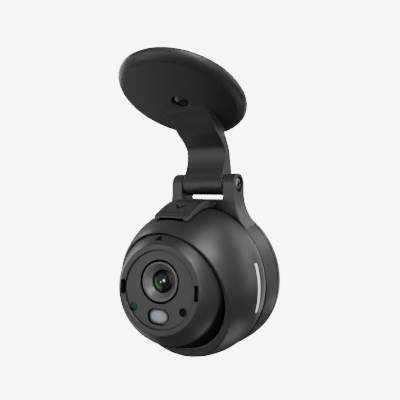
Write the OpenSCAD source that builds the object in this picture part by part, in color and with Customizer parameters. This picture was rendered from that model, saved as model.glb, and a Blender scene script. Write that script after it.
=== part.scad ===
// Ball-shaped dash camera on a tilting disc mount.
// Frame: origin at the centre of the adhesive face, +Z up, lens side towards -Y,
// +X along the tilt hinge. Everything is first drawn round the ball, with Y along
// the ball's axis and y = 0 at the seam behind the front shell, then moved as one.

/* [Ball] */
// largest outside radius of the ball
ball_r = 28.9; // [24:0.1:34]
// distance from the widest section to the front pole of the shell's curve
ball_front = 28; // [24:0.5:34]
// y of the widest section
ball_mid_y = -5; // [-9:0.5:-2]
// height of the front shell's and cap's axis above the band's centre
ball_z = 0.3; // [0:0.1:1]
// extra height of the front shell's curve over the band
shell_lift = 0.4; // [0:0.1:0.6]
// y of the flat front face on the ball's axis
face_cut_y = -20.4; // [-24:0.1:-18]
// lean of the flat front face, top edge forward
face_lean = 12.5; // [0:0.5:15]
// radius of the round opening in the front face
lip_r = 22.2; // [21.8:0.1:23.2]
// y of the seam between the band and the rear cap
band_y = 13.2; // [10:0.1:16]
// y of the back of the rear cap
back_y = 23.2; // [19:0.1:28]

/* [Yoke] */
// outside half width over the two ears
ear_x = 14.8; // [12:0.1:17]
// half width of the slot between the ears
slot_x = 9.7; // [8:0.1:11]
// radius of the rounded ear tops
ear_r = 4.3; // [3.5:0.1:5.5]
// height of the tilt hinge above the ball's axis
hinge_z = 37.8; // [35:0.1:42]
// y of the tilt hinge
hinge_y = 4.9; // [3:0.1:7]
// top of the crossbar between the arms
bar_z = 32.0; // [30:0.1:32.4]

/* [Bracket] */
// radius of the mounting disc
disc_r = 24.7; // [20:0.1:30]
// radius of the disc's flat underside
disc_flat_r = 21.7; // [17:0.1:27]
// thickness of the disc with its adhesive pad
disc_t = 4.6; // [3.5:0.1:6]
// tilt of the disc, front edge up
disc_tilt = 27.6; // [10:0.1:45]
// half width of the neck
neck_x = 9.2; // [7:0.1:11]
// radius of the knuckle barrel
knuckle_r = 4.4; // [3.5:0.1:5]
// half width of the knuckle barrel
knuckle_x = 9.3; // [7.5:0.1:10.5]

/* [Eyeball] */
// radius of the eyeball
eye_r = 22.6; // [20:0.1:23]
// y of the eyeball's centre
eye_y = -14.2; // [-16:0.1:-12]
// pan of the eyeball, towards +X
eye_pan = 9; // [-10:0.5:10]
// tilt of the eyeball, lens up
eye_tilt = 5.5; // [-6:0.5:11]
// outside radius of the rim round the face
rim_r = 15.5; // [13:0.1:17]
// radius of the sunken face plate
plate_r = 13.5; // [11:0.1:15]
// height of the lens axis above the centre of the face
lens_v = 2.7; // [0:0.1:4]

/* [Hardware] */
// radius of the hinge bolt
bolt_r = 1.5; // [1:0.1:2]
// radial clearance of a running fit
run_gap = 0.06; // [0.02:0.01:0.1]
// gap left round parts that are set into a recess
fit_gap = 0.1; // [0.05:0.01:0.3]

/* [Hidden] */
$fn = 72;
eps = 0.01;

// centre of the disc's underside, and of the adhesive face
disc_y = -13.3;
disc_z = 68.35;
face_y = disc_y + disc_t * sin(disc_tilt);
face_z = disc_z + disc_t * cos(disc_tilt);

// disc layers, measured down from the adhesive face
pad_t = 0.7;
plate_t = 1.5;
pad_r = disc_r - 0.8;
plate_seat_r = disc_r - 2;
disc_hole_r = 3.25;

// eyeball layout along its own axis, measured from its centre
rim_d = sqrt(eye_r * eye_r - rim_r * rim_r);
plate_d = rim_d - 0.7;
plate_thick = 1.4;
eye_wall = 1.8;
eye_back_d = -9;
cover_t = 1.4;
cover_r = 19.2;
cover_screw_r = 16.4;
dimple_r = 2.0;
recess_r = 7.6;
barrel_r = 6.85;
glass_r = 4.1;
mouth_r = 6.1;
mouth_depth = 2.0;
nose_depth = 4.8;
sensor_board_d = 1.2;

// pivot pads above and below the eyeball
pad_in_r = eye_r + 0.08;
pad_out_r = eye_r + 1.0;
pivot_pad_r = 3.4;
pivot_pocket_gap = 0.06;

// ---------------------------------------------------------------- placing

// from the ball's own axes to the row frame
module place() {
  translate([0, -face_y, -face_z])
    children();
}

// the same, for parts centred on the ball's axis
module on_axis() {
  place()
    translate([0, 0, ball_z])
      children();
}

// disc axes: z = 0 on the adhesive face, +z out of it
module at_disc() {
  place()
    translate([0, face_y, face_z])
      rotate([-disc_tilt, 0, 0])
        children();
}

// ball axes with the turning axis along z: local z = -y of the ball
module about_y() {
  rotate([90, 0, 0])
    children();
}

// eyeball axes: x right, y up on the face, z out along the lens axis
module at_eye() {
  place()
    translate([0, eye_y, ball_z])
      rotate([0, 0, eye_pan])
        rotate([-eye_tilt, 0, 0])
          rotate([90, 0, 0])
            children();
}

// bar along X, centred on the tilt hinge's height
module x_cylinder(r, x0, x1) {
  translate([x0, 0, 0])
    rotate([0, 90, 0])
      cylinder(r = r, h = x1 - x0);
}

// outside radius of the front shell at y
function shell_r(y) = ball_r * sqrt(1 - pow((y - ball_mid_y) / ball_front, 2));

// cross-recess pan head with its shaft, head up, z = 0 under the head
module pan_screw(head_r, head_t, shaft_r, shaft_l) {
  difference() {
    union() {
      intersection() {
        cylinder(r = head_r, h = head_t, $fn = 36);
        translate([0, 0, head_t - head_r * 1.7])
          sphere(r = head_r * 1.7, $fn = 48);
      }
      translate([0, 0, -shaft_l])
        cylinder(r = shaft_r, h = shaft_l + eps, $fn = 24);
    }
    for (a = [0, 90])
      rotate([0, 0, a])
        translate([-head_r * 0.55, -head_r * 0.11, head_t * 0.4])
          cube([head_r * 1.1, head_r * 0.22, head_t]);
  }
}

module rounded_rect(w, h, r) {
  for (sx = [-1, 1], sy = [-1, 1])
    translate([sx * (w / 2 - r), sy * (h / 2 - r)])
      circle(r = r, $fn = 32);
  square([w - 2 * r, h], center = true);
  square([w, h - 2 * r], center = true);
}

// ---------------------------------------------------------------- bracket

module adhesive_pad() {
  color([0.09, 0.09, 0.10])
    at_disc()
      translate([0, 0, -pad_t])
        cylinder(r = pad_r, h = pad_t, $fn = 96);
}

module top_plate() {
  color([0.16, 0.16, 0.17])
    at_disc()
      translate([0, 0, -pad_t - plate_t])
        difference() {
          cylinder(r = plate_seat_r - fit_gap, h = plate_t, $fn = 96);
          translate([0, 0, -eps])
            cylinder(r = bolt_r + 0.02, h = plate_t + 2 * eps, $fn = 24);
        }
}

module disc_screw() {
  color([0.55, 0.55, 0.57])
    at_disc()
      translate([0, 0, -disc_t + 0.4 + 1.1])
        rotate([180, 0, 0])
          pan_screw(2.7, 1.1, bolt_r, 2.2);
}

// cross-section of the disc under the pad, radius then height
disc_profile = [
  [0, -disc_t], [disc_flat_r, -disc_t], [disc_flat_r + 1.2, -disc_t + 0.2],
  [disc_flat_r + 2.1, -disc_t + 0.6], [disc_flat_r + 2.7, -disc_t + 1.2],
  [disc_r, -disc_t + 2.0], [disc_r, -pad_t], [plate_seat_r, -pad_t],
  [plate_seat_r, -pad_t - plate_t], [0, -pad_t - plate_t]
];

// side outline of the neck, y then z
neck_front = [
  [-9.5, 68.2], [-8.2, 65.9], [-6.5, 62.6], [-4.4, 59.8], [-2.3, 57.6], [0.5, 55.4],
  [2.6, 53.4], [3.7, 51.4], [4.0, 49.2], [3.8, 46.8], [3.1, 44.4], [2.0, 42.0], [1.2, 39.6]
];
neck_rear = [
  [9.2, 39.6], [9.1, 42.8], [8.7, 45.6], [8.2, 48.2], [7.8, 50.4], [6.9, 52.9],
  [5.8, 55.0], [4.4, 57.2], [3.2, 59.6], [2.6, 62.0], [2.0, 64.0]
];

module mount_bracket() {
  color([0.13, 0.13, 0.14])
    difference() {
      union() {
        at_disc()
          rotate_extrude($fn = 96)
            polygon(disc_profile);
        place()
          translate([-neck_x, 0, 0])
            rotate([90, 0, 90])
              linear_extrude(2 * neck_x)
                polygon(concat(neck_front, neck_rear));
        place()
          translate([0, hinge_y, hinge_z])
            x_cylinder(knuckle_r, -knuckle_x, knuckle_x);
      }
      // seat of the top plate, kept clear of the neck
      at_disc()
        translate([0, 0, -pad_t - plate_t])
          cylinder(r = plate_seat_r, h = plate_t + pad_t + 4, $fn = 96);
      at_disc()
        translate([0, 0, -disc_t - eps])
          cylinder(r = bolt_r + 0.1, h = disc_t, $fn = 24);
      // counterbore for the disc screw
      at_disc()
        translate([0, 0, -disc_t - 1])
          cylinder(r = disc_hole_r, h = 1 + 1.5, $fn = 48);
      place()
        translate([0, hinge_y, hinge_z])
          x_cylinder(bolt_r + run_gap, -knuckle_x - 1, knuckle_x + 1);
    }
}

// ---------------------------------------------------------------- yoke

// front outline of the arch above the band, right half, x then z
arch_side = [
  [23.1, 16.2], [21.8, 18.2], [19.6, 21.2], [17.75, 24.1], [16.4, 27.0],
  [15.5, 29.6], [15.0, 32.4], [ear_x, 35.4], [ear_x, hinge_z + ear_r + 1]
];

// side outline of the arch, y then z
arch_depth = [
  [13.2, 10], [13.2, 19.4], [12.4, 21.2], [11.2, 22.9], [10.1, 25.0], [9.4, 27.8],
  [hinge_y + ear_r, 31.0], [hinge_y + ear_r, hinge_z], [hinge_y - ear_r, hinge_z],
  [hinge_y - ear_r, 30.0], [0.25, 26.0], [0.25, 10]
];

band_in_r = 26.3;
flange_y = 0.5;
flange_t = 1.2;
post_ring_r = 20.2;
post_r = 2.1;
post_angles = [30, 150, 270];
post_top_y = 17.8;

module yoke_frame() {
  color([0.12, 0.12, 0.13])
    place()
      difference() {
        union() {
          // the band round the ball, with its inner flange
          translate([0, 0, ball_z])
            about_y()
              rotate_extrude($fn = 120)
                polygon([
                  [23.8, -flange_y], [band_in_r, -flange_y], [band_in_r, -0.25], [28.15, -0.25],
                  [28.45, -0.55], [28.7, -4], [28.8, -8], [28.7, -band_y + 0.3],
                  [28.4, -band_y], [band_in_r, -band_y], [band_in_r, -flange_y - flange_t],
                  [23.8, -flange_y - flange_t]
                ]);
          // posts for the rear cap's screws
          for (a = post_angles)
            translate([0, 0, ball_z])
              rotate([0, a, 0])
                translate([post_ring_r, post_top_y, 0])
                  rotate([90, 0, 0])
                    cylinder(r = post_r, h = post_top_y - flange_y, $fn = 32);
          for (a = post_angles)
            translate([0, 0, ball_z])
              rotate([0, a, 0])
                translate([post_ring_r, flange_y, -post_r])
                  cube([4.2, flange_t, 2 * post_r]);
          // arms, ears and crossbar
          difference() {
            intersection() {
              translate([0, band_y, 0])
                rotate([90, 0, 0])
                  linear_extrude(band_y)
                    polygon(concat(
                      arch_side,
                      [for (i = [len(arch_side) - 1:-1:0]) [-arch_side[i][0], arch_side[i][1]]]
                    ));
              translate([-40, 0, 0])
                rotate([90, 0, 90])
                  linear_extrude(80)
                    union() {
                      polygon(arch_depth);
                      translate([hinge_y, hinge_z])
                        circle(r = ear_r, $fn = 64);
                    }
            }
            translate([0, band_y + 1, ball_z])
              about_y()
                cylinder(r = band_in_r + 0.5, h = band_y + 2, $fn = 120);
          }
        }
        // screw holes in the posts and in the flange
        for (a = post_angles)
          translate([0, 0, ball_z])
            rotate([0, a, 0])
              translate([post_ring_r, post_top_y + 1, 0])
                rotate([90, 0, 0])
                  cylinder(r = 0.82, h = 8, $fn = 20);
        for (a = screw_angles)
          translate([0, 0, ball_z])
            rotate([0, a, 0])
              translate([screw_ring_r, 3, 0])
                rotate([90, 0, 0])
                  cylinder(r = 0.7, h = 4, $fn = 16);
        // room for the back of the card socket
        translate([-8.2, -1, 24.6])
          cube([16.4, 6.4, 2.5]);
        // slot between the ears, above the crossbar
        translate([-slot_x, -1, bar_z])
          cube([2 * slot_x, 20, 30]);
        // pocket behind the crossbar
        translate([-slot_x, 5.2, 28.95])
          cube([2 * slot_x, 9, 10]);
        translate([0, hinge_y, hinge_z]) {
          x_cylinder(bolt_r + 0.05, -ear_x - 1, ear_x + 1, $fn = 32);
          // counterbore for the bolt head
          x_cylinder(3.0, ear_x - 1.5, ear_x + 1);
          // hexagonal pocket for the nut
          translate([-ear_x - 1, 0, 0])
            rotate([0, 90, 0])
              cylinder(r = 3.23, h = 1 + 2.2, $fn = 6);
        }
      }
}

module hinge_bolt() {
  color([0.62, 0.62, 0.64])
    place()
      translate([ear_x - 1.45, hinge_y, hinge_z])
        rotate([0, 90, 0])
          pan_screw(2.75, 1.35, bolt_r, 2 * ear_x - 2.4);
}

module hinge_nut() {
  color([0.62, 0.62, 0.64])
    place()
      translate([-ear_x + 0.2, hinge_y, hinge_z])
        rotate([0, 90, 0])
          difference() {
            cylinder(r = 3.13, h = 1.9, $fn = 6);
            translate([0, 0, -eps])
              cylinder(r = bolt_r + 0.02, h = 2, $fn = 32);
          }
}

module friction_washers() {
  color([0.75, 0.74, 0.70])
    place()
      for (x0 = [-slot_x, knuckle_x + 0.03])
        translate([x0, hinge_y, hinge_z])
          rotate([0, 90, 0])
            difference() {
              cylinder(r = 3.6, h = slot_x - knuckle_x - 0.03);
              translate([0, 0, -eps])
                cylinder(r = bolt_r + 0.05, h = 1, $fn = 32);
            }
}

// ---------------------------------------------------------------- front shell

shell_ys = [0, -2.5, -5, -8, -11, -14, -16.5, -19, -21.5, -23.5, -25, -26.3];

// outside of the front shell, in steps of y, as radius and height along -y
function shell_outer(grow) = [for (y = shell_ys) [shell_r(y) + grow, -y]];

flap_x = 7.8;
flap_pin_y = -1.75;
flap_pin_z = 30.75;
flap_pin_r = 0.6;
flap_barrel_r = 1.05;
lug_r = 0.8;
lug_x0 = 4.6;
lug_x1 = 6.2;
card_z = 25.7;

// box in front of the leaning face
module beyond_face(offset_y) {
  translate([0, face_cut_y - offset_y, 0])
    rotate([face_lean, 0, 0])
      translate([-40, -30, -50])
        cube([80, 30, 100]);
}

module front_shell() {
  color([0.11, 0.11, 0.12])
    place()
      difference() {
        union() {
          difference() {
            translate([0, 0, ball_z + shell_lift])
              about_y()
                rotate_extrude($fn = 120)
                  polygon(concat(
                    [[23.8, 0]],
                    shell_outer(0),
                    [[15, 26.3], [15, 14], [21.6, 11.2], [26.6, 9.85], [26.6, 4.4], [23.8, 4.4]]
                  ));
            beyond_face(0);
            // round opening, set a little low and to the right
            translate([0.3, face_cut_y, 0])
              rotate([face_lean, 0, 0])
                translate([0, 10, -1.2])
                  about_y()
                    cylinder(r = lip_r, h = 30, $fn = 120);
          }
          // lugs of the flap's hinge
          for (s = [-1, 1])
            translate([s > 0 ? lug_x0 : -lug_x1, flap_pin_y, 0]) {
              translate([0, -lug_r, 27.5])
                cube([lug_x1 - lug_x0, 2 * lug_r, flap_pin_z - 27.5]);
              translate([0, 0, flap_pin_z])
                x_cylinder(lug_r, 0, lug_x1 - lug_x0, $fn = 32);
            }
        }
        // room for the eyeball
        translate([0, eye_y, ball_z])
          sphere(r = eye_r + 0.35, $fn = 120);
        // pockets of the pivot pads
        for (s = [-1, 1])
          translate([0, eye_y, ball_z])
            intersection() {
              sphere(r = pad_out_r + pivot_pocket_gap, $fn = 120);
              translate([0, 0, s > 0 ? 15 : -30])
                cylinder(r = pivot_pad_r + pivot_pocket_gap, h = 15, $fn = 48);
            }
        // opening for the memory card
        translate([-6.2, -20, card_z - 0.95])
          cube([12.4, 14, 1.9]);
        // finger dip in front of the card
        translate([-6.2, -19.5, card_z - 0.95])
          cube([12.4, 5, 4]);
        // room for the card socket
        translate([-8.2, -12.4, 24.6])
          cube([16.4, 14, 2.5]);
        translate([0, flap_pin_y, flap_pin_z])
          x_cylinder(flap_pin_r + 0.02, -8, 8, $fn = 24);
        for (a = screw_angles)
          translate([0, 0, ball_z])
            rotate([0, a, 0])
              translate([screw_ring_r, 0.5, 0])
                rotate([90, 0, 0])
                  cylinder(r = 0.62, h = 4.4, $fn = 16);
        for (a = retainer_angles)
          translate([0, 0, ball_z])
            rotate([0, a, 0])
              translate([retainer_screw_r, -9, 0])
                rotate([90, 0, 0])
                  cylinder(r = 0.62, h = 3.4, $fn = 16);
      }
}

screw_angles = [60, 120, 180, 240, 300, 0];
screw_ring_r = 25.1;
retainer_angles = [90, 210, 330];
retainer_screw_r = 24.7;

// slotted cheese-head screw, head up, z = 0 under the head
module slot_screw(head_r, head_t, shaft_r, shaft_l) {
  difference() {
    union() {
      translate([0, 0, -shaft_l])
        cylinder(r = shaft_r, h = shaft_l + 0.05, $fn = 20);
      cylinder(r = head_r, h = head_t, $fn = 24);
    }
    translate([-head_r * 0.6, -head_r * 0.12, head_t * 0.55])
      cube([head_r * 1.2, head_r * 0.24, head_t]);
  }
}

module shell_screws() {
  color([0.62, 0.62, 0.64])
    on_axis()
      for (a = screw_angles)
        rotate([0, a, 0])
          translate([screw_ring_r, flange_y + flange_t, 0])
            rotate([-90, 0, 0])
              slot_screw(1.1, 0.8, 0.6, 5.2);
}

module seam_gasket() {
  color([0.05, 0.05, 0.05])
    place()
      difference() {
        translate([0, flange_y, ball_z])
          about_y()
            difference() {
              cylinder(r = 26.2, h = flange_y, $fn = 96);
              translate([0, 0, -eps])
                cylinder(r = 23.9, h = 1, $fn = 96);
            }
        for (a = screw_angles)
          translate([0, 0, ball_z])
            rotate([0, a, 0])
              translate([screw_ring_r, 2, 0])
                rotate([90, 0, 0])
                  cylinder(r = 0.75, h = 4, $fn = 16);
        translate([-8.2, -1, 24.6])
          cube([16.4, 3, 2.5]);
      }
}

// ---------------------------------------------------------------- rear cap

board_post_r = 14.5;
board_post_angles = [90, 210, 330];
cap_seat_y = back_y - 3.8;
usb_z = -10.4;

module rear_cap() {
  color([0.11, 0.11, 0.12])
    on_axis()
      difference() {
        union() {
          about_y()
            rotate_extrude($fn = 120)
              polygon([
                [0, -back_y], [9, -back_y + 0.15], [16, -back_y + 0.8], [20.5, -back_y + 2.0],
                [24.0, -back_y + 4.0], [26.4, -back_y + 6.6], [27.8, -back_y + 9.0],
                [28.15, -band_y - 0.12], [24.2, -band_y - 0.12], [24.2, -band_y + 1.2],
                [23.0, -band_y + 1.2], [23.0, -back_y + 5.6], [19.0, -back_y + 3.2],
                [13, -back_y + 2.1], [0, -back_y + 1.8]
              ]);
          // bosses that meet the yoke's posts
          for (a = post_angles)
            rotate([0, a, 0])
              translate([post_ring_r, back_y - 3, 0])
                rotate([90, 0, 0])
                  cylinder(r = post_r, h = back_y - 3 - post_top_y - 0.03, $fn = 32);
          // posts that carry the main board
          for (a = board_post_angles)
            rotate([0, a, 0])
              translate([board_post_r, back_y - 1.8, 0])
                rotate([90, 0, 0])
                  cylinder(r = 1.9, h = back_y - 1.8 - board_y - board_t - 0.02, $fn = 32);
        }
        // port for the power plug
        translate([-4.3, 18, usb_z - 1.8])
          cube([8.6, 8, 3.6]);
        // slots in front of the speaker
        for (i = [-2:2])
          translate([i * 2.2 - 0.4, 17, 6.5])
            cube([0.8, 9, 8]);
        for (a = post_angles)
          rotate([0, a, 0])
            translate([post_ring_r, back_y + 1, 0])
              rotate([90, 0, 0]) {
                cylinder(r = 0.85, h = 12, $fn = 24);
                cylinder(r = 1.8, h = back_y + 1 - cap_seat_y, $fn = 32);
              }
        for (a = board_post_angles)
          rotate([0, a, 0])
            translate([board_post_r, board_y + board_t + 7, 0])
              rotate([90, 0, 0])
                cylinder(r = 0.82, h = 8, $fn = 20);
      }
}

module cap_screws() {
  color([0.62, 0.62, 0.64])
    on_axis()
      for (a = post_angles)
        rotate([0, a, 0])
          translate([post_ring_r, cap_seat_y, 0])
            rotate([-90, 0, 0])
              pan_screw(1.6, 1.0, 0.8, 7);
}

// ---------------------------------------------------------------- eyeball seat

module retainer_ring() {
  color([0.20, 0.20, 0.22])
    place()
      difference() {
        translate([0, -6.6, ball_z])
          about_y()
            cylinder(r = 26.1, h = 3.15, $fn = 96);
        translate([0, eye_y, ball_z])
          sphere(r = eye_r + 0.08, $fn = 120);
        translate([-8.2, -12, 24.6])
          cube([16.4, 14, 6]);
        for (a = retainer_angles)
          translate([0, 0, ball_z])
            rotate([0, a, 0])
              translate([retainer_screw_r, -5, 0])
                rotate([90, 0, 0])
                  cylinder(r = 0.7, h = 6, $fn = 16);
      }
}

module retainer_screws() {
  color([0.62, 0.62, 0.64])
    on_axis()
      for (a = retainer_angles)
        rotate([0, a, 0])
          translate([retainer_screw_r, -6.6, 0])
            rotate([-90, 0, 0])
              slot_screw(1.1, 0.8, 0.6, 5.4);
}

module pivot_pads() {
  color([0.78, 0.77, 0.73])
    place()
      translate([0, eye_y, ball_z])
        for (s = [-1, 1])
          difference() {
            intersection() {
              sphere(r = pad_out_r, $fn = 96);
              translate([0, 0, s > 0 ? 15 : -30])
                cylinder(r = pivot_pad_r, h = 15, $fn = 40);
            }
            sphere(r = pad_in_r, $fn = 96);
          }
}

// ---------------------------------------------------------------- electronics

board_y = 8.4;
board_t = 1.2;

module main_board() {
  color([0.05, 0.22, 0.12])
    on_axis()
      difference() {
        translate([0, board_y + board_t, 0])
          about_y()
            cylinder(r = 17.8, h = board_t, $fn = 72);
        for (a = board_post_angles)
          rotate([0, a, 0])
            translate([board_post_r, board_y + 3, 0])
              rotate([90, 0, 0])
                cylinder(r = 0.85, h = 5, $fn = 24);
      }
}

module board_screws() {
  color([0.62, 0.62, 0.64])
    on_axis()
      for (a = board_post_angles)
        rotate([0, a, 0])
          translate([board_post_r, board_y, 0])
            rotate([90, 0, 0])
              slot_screw(1.5, 0.9, 0.8, 5);
}

module card_socket() {
  color([0.72, 0.72, 0.74])
    place()
      difference() {
        translate([-7.4, -11.6, card_z - 0.95])
          cube([14.8, 16.2, 1.9]);
        translate([-5.7, -12, card_z - 0.65])
          cube([11.4, 16.1, 1.3]);
      }
}

module memory_card() {
  color([0.06, 0.06, 0.07])
    place()
      difference() {
        translate([-5.5, -13.2, card_z - 0.5])
          cube([11, 15, 1.0]);
        translate([3.6, 0.2, card_z - 1])
          cube([3, 3, 2]);
      }
}

module usb_socket() {
  color([0.72, 0.72, 0.74])
    on_axis()
      difference() {
        translate([-3.9, board_y + board_t + 0.02, usb_z - 1.4])
          cube([7.8, 10.6, 2.8]);
        translate([-3.5, board_y + 5.6, usb_z - 1.0])
          cube([7.0, 8, 2.0]);
      }
}

module backup_battery() {
  color([0.20, 0.30, 0.55])
    place()
      translate([-10, 0.9, -9])
        cube([20, 5.0, 14]);
}

module speaker() {
  color([0.10, 0.10, 0.11])
    place()
      translate([0, 19.6, 10.5])
        about_y()
          difference() {
            cylinder(r = 7.0, h = 3.6, $fn = 48);
            translate([0, 0, -eps])
              cylinder(r = 5.6, h = 0.6, $fn = 48);
          }
}

module heat_spreader() {
  color([0.75, 0.76, 0.78])
    place()
      difference() {
        translate([-9, board_y - 1.7, -7])
          cube([18, 1.68, 18]);
        for (i = [-3:3])
          translate([i * 2.4 - 0.5, board_y - 2.3, -9])
            cube([1.0, 1.4, 24]);
      }
}

// ---------------------------------------------------------------- access flap

module flap_pin() {
  color([0.62, 0.62, 0.64])
    place()
      translate([0, flap_pin_y, flap_pin_z])
        x_cylinder(flap_pin_r, -7.4, 7.4, $fn = 32);
}

// side outline of the flap, y then z
flap_side = [
  [flap_pin_y, flap_pin_z + flap_barrel_r], [-5.0, 31.8], [-9.0, 31.4], [-12.0, 30.5], [-14.6, 29.25],
  [-17.0, 27.9], [-18.9, 26.8], [-19.6, 26.2], [-19.6, 20], [flap_pin_y, 20]
];

module access_flap() {
  color([0.12, 0.12, 0.13])
    place()
      difference() {
        union() {
          translate([-flap_x, 0, 0])
            rotate([90, 0, 90])
              linear_extrude(2 * flap_x)
                polygon(flap_side);
          translate([0, flap_pin_y, flap_pin_z])
            x_cylinder(flap_barrel_r, -flap_x, flap_x, $fn = 40);
        }
        // underside follows the shell
        translate([0, 0, ball_z + shell_lift])
          about_y()
            rotate_extrude($fn = 120)
            polygon(concat([[0, 0.01]], shell_outer(0.3), [[0, 26.3]]));
        // keep the underside clear behind the pin
        translate([-20, flap_pin_y, 0])
          cube([40, 5, flap_pin_z - flap_barrel_r]);
        // hollow over the card
        translate([-6.2, -17.6, 20])
          cube([12.4, 9.4, 7.6]);
        // slots for the two lugs
        for (s = [-1, 1])
          translate([s > 0 ? lug_x0 - 0.25 : -lug_x1 - 0.25, 0, 0]) {
            translate([0, flap_pin_y, flap_pin_z])
              x_cylinder(lug_r + 0.25, 0, lug_x1 - lug_x0 + 0.5, $fn = 32);
            translate([0, flap_pin_y - lug_r - 0.25, 20])
              cube([lug_x1 - lug_x0 + 0.5, 4, flap_pin_z - 20]);
          }
        translate([0, flap_pin_y, flap_pin_z])
          x_cylinder(flap_pin_r + run_gap, -8, 8, $fn = 32);
        // finger groove in the front edge
        translate([-5.4, -20.4, 24.6])
          cube([10.8, 1.6, 1.0]);
      }
}

// ---------------------------------------------------------------- eyeball

module eyeball_shell() {
  color([0.12, 0.12, 0.13])
    at_eye()
      difference() {
        intersection() {
          sphere(r = eye_r, $fn = 120);
          translate([0, 0, eye_back_d])
            cylinder(r = 30, h = rim_d - eye_back_d, $fn = 60);
        }
        // inside of the bowl
        intersection() {
          sphere(r = eye_r - eye_wall, $fn = 96);
          translate([0, 0, eye_back_d - 1])
            cylinder(r = 30, h = plate_d - plate_thick - eye_back_d, $fn = 60);
        }
        // seat of the face plate
        translate([0, 0, plate_d - plate_thick])
          cylinder(r = plate_r, h = 8, $fn = 96);
        translate([0, 0, 2])
          cylinder(r = plate_r - 1.2, h = 18, $fn = 72);
        // two grip slots in the rim
        for (s = [-1, 1])
          translate([s * (plate_r + 0.75), 0, rim_d - 2.4])
            linear_extrude(4)
              rounded_rect(1.9, 5.3, 0.9);
        // seat of the rear cover
        translate([0, 0, eye_back_d - 1])
          cylinder(r = cover_r + 0.08, h = cover_t + 1, $fn = 96);
        // shallow round dimples on the tilt axis
        for (s = [-1, 1])
          translate([s * (eye_r - 0.5), 0, 0])
            x_cylinder(dimple_r, s > 0 ? 0 : -2, s > 0 ? 2 : 0, $fn = 32);
        // clearance round the small windows
        translate([-9.95, -6.7, 6])
          cylinder(r = 1.6, h = 12, $fn = 32);
        translate([9.45, -6.7, 6])
          cylinder(r = 2.1, h = 12, $fn = 32);
      }
}

module face_plate() {
  color([0.13, 0.13, 0.14])
    at_eye()
      difference() {
        translate([0, 0, plate_d - plate_thick])
          cylinder(r = plate_r - fit_gap, h = plate_thick, $fn = 96);
        translate([0, lens_v, plate_d - 4])
          cylinder(r = recess_r, h = 8, $fn = 72);
        translate([-9.95, -6.7, plate_d - 4])
          cylinder(r = 1.55, h = 8, $fn = 32);
        translate([9.45, -6.7, plate_d - 4])
          cylinder(r = 1.45, h = 8, $fn = 32);
        translate([0, -9.1, plate_d - 4])
          linear_extrude(8)
            rounded_rect(8.4, 5.8, 2.6);
        for (s = [-1, 1])
          translate([s * (plate_r + 0.75), 0, plate_d - 4])
            linear_extrude(8)
              rounded_rect(1.9, 5.3, 0.9);
      }
}

module lens_barrel() {
  color([0.10, 0.10, 0.11])
    at_eye()
      translate([0, lens_v, 0])
        difference() {
          union() {
            translate([0, 0, 6.4])
              cylinder(r = 6.0, h = plate_d - 6.4 - 1.0, $fn = 64);
            // flanged nose with its bevel
            rotate_extrude($fn = 72)
              polygon([
                [0, plate_d - nose_depth], [barrel_r, plate_d - nose_depth], [barrel_r, plate_d - 0.2],
                [barrel_r - 0.25, plate_d], [0, plate_d]
              ]);
          }
          // stepped bore, widening to a funnel at the mouth
          translate([0, 0, 5])
            cylinder(r = 3.3, h = 20, $fn = 48);
          translate([0, 0, plate_d - nose_depth + 0.2])
            cylinder(r = glass_r, h = 6, $fn = 48);
          translate([0, 0, plate_d - mouth_depth])
            cylinder(r1 = glass_r, r2 = mouth_r, h = mouth_depth + eps, $fn = 72);
        }
}

module front_glass() {
  color([0.05, 0.06, 0.09, 0.6])
    at_eye()
      translate([0, lens_v, plate_d - nose_depth + 0.3])
        intersection() {
          cylinder(r = glass_r - 0.05, h = 4, $fn = 48);
          translate([0, 0, -6.4])
            sphere(r = 8.7, $fn = 96);
        }
}

module inner_lenses() {
  color([0.20, 0.24, 0.30, 0.5])
    at_eye()
      translate([0, lens_v, 0])
        for (d = [6.8, 8.6, 10.2])
          translate([0, 0, d])
            cylinder(r = 3.25, h = 0.9, $fn = 40);
}

module lens_holder() {
  color([0.08, 0.08, 0.09])
    at_eye()
      translate([0, lens_v, 0])
        difference() {
          union() {
            translate([-6.2, -6.2, sensor_board_d + 1])
              cube([12.4, 12.4, 2.6]);
            translate([0, 0, sensor_board_d + 3])
              cylinder(r = 5.6, h = 2.2, $fn = 48);
          }
          translate([0, 0, sensor_board_d])
            cylinder(r = 4.4, h = 8, $fn = 48);
          translate([-4.6, -4.6, sensor_board_d])
            cube([9.2, 9.2, 2.6]);
        }
}

module image_sensor() {
  color([0.15, 0.16, 0.20])
    at_eye()
      translate([-4, lens_v - 3.4, sensor_board_d + 1])
        cube([8, 6.8, 1.1]);
}

module sensor_board() {
  color([0.05, 0.22, 0.12])
    at_eye()
      difference() {
        translate([0, 0, sensor_board_d])
          cylinder(r = 15.6, h = 1.0, $fn = 72);
        for (s = [-1, 1])
          translate([s * 12.6, 3, sensor_board_d - 1])
            cylinder(r = 0.85, h = 4, $fn = 24);
      }
}

module sensor_screws() {
  color([0.62, 0.62, 0.64])
    at_eye()
      for (s = [-1, 1])
        translate([s * 12.6, 3, sensor_board_d])
          rotate([180, 0, 0])
            slot_screw(1.5, 0.9, 0.8, 4);
}

module illuminator_window() {
  color([0.92, 0.93, 0.95])
    at_eye()
      translate([0, -9.1, plate_d - plate_thick - 0.9])
        difference() {
          union() {
            linear_extrude(1.9)
              rounded_rect(7.0, 4.5, 2.0);
            linear_extrude(0.8)
              rounded_rect(8.2, 5.6, 2.5);
          }
          translate([0, 0, -eps])
            linear_extrude(0.4)
              rounded_rect(5, 3, 1.2);
        }
}

module illuminator_led() {
  color([0.95, 0.90, 0.60])
    at_eye()
      translate([-1.75, -10.5, sensor_board_d + 1])
        cube([3.5, 2.8, 1.4]);
}

module light_sensor_window() {
  color([0.03, 0.16, 0.13])
    at_eye()
      translate([-9.95, -6.7, plate_d - 1.7])
        cylinder(r = 1.5, h = 1.4, $fn = 32);
}

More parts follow.
